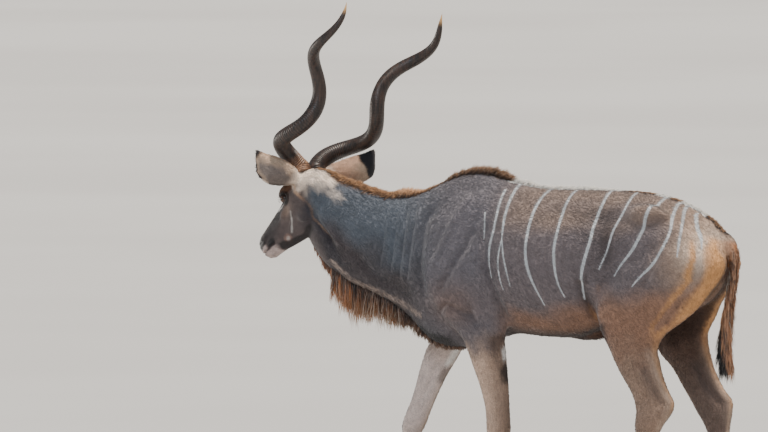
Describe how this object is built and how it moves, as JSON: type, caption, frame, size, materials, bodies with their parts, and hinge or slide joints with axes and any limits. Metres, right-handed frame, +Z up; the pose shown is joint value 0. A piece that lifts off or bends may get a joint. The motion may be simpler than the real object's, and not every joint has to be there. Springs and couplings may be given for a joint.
{
  "type": "greater kudu bull figure",
  "caption": "Life-size still model of a spiral-horned antelope bull standing with a lowered head, a forward foreleg, a maned neck, a throat fringe and white side stripes.",
  "frame": {"origin": "on the floor, under the middle of the model's box", "axes": "+Z up, +X towards the tail, +Y to the animal's right, so it faces -X"},
  "size_m": [2.0678, 0.5504, 2.0155],
  "materials": {
    "body_coat": "short dense hair, grey brown with white side stripes",
    "neck_coat": "short hair, greyer than the trunk, with a long dark and tawny fringe",
    "head_coat": "short hair, brown with white marks",
    "ear_coat": "short hair, pale rims and dark tips",
    "tail_coat": "short hair with a dark tuft",
    "leg_coat": "short hair, tawny",
    "horn": "satin keratin, ringed near the base, pale at the tip",
    "hoof": "dull dark horn",
    "eye": "wet and glossy"
  },
  "bodies": {
    "root": {"ear_left": "ear_coat", "ear_right": "ear_coat", "eye_left": "eye", "eye_right": "eye", "foredewclaw_left_inner": "hoof", "foredewclaw_left_outer": "hoof", "foredewclaw_right_inner": "hoof", "foredewclaw_right_outer": "hoof", "forehoof_left_inner": "hoof", "forehoof_left_outer": "hoof", "forehoof_right_inner": "hoof", "forehoof_right_outer": "hoof", "foreleg_left": "leg_coat", "foreleg_right": "leg_coat", "head": "head_coat", "hinddewclaw_left_inner": "hoof", "hinddewclaw_left_outer": "hoof", "hinddewclaw_right_inner": "hoof", "hinddewclaw_right_outer": "hoof", "hindhoof_left_inner": "hoof", "hindhoof_left_outer": "hoof", "hindhoof_right_inner": "hoof", "hindhoof_right_outer": "hoof", "hindleg_left": "leg_coat", "hindleg_right": "leg_coat", "horn_left": "horn", "horn_right": "horn", "neck": "neck_coat", "tail": "tail_coat", "torso": "body_coat"}
  },
  "joints": []
}
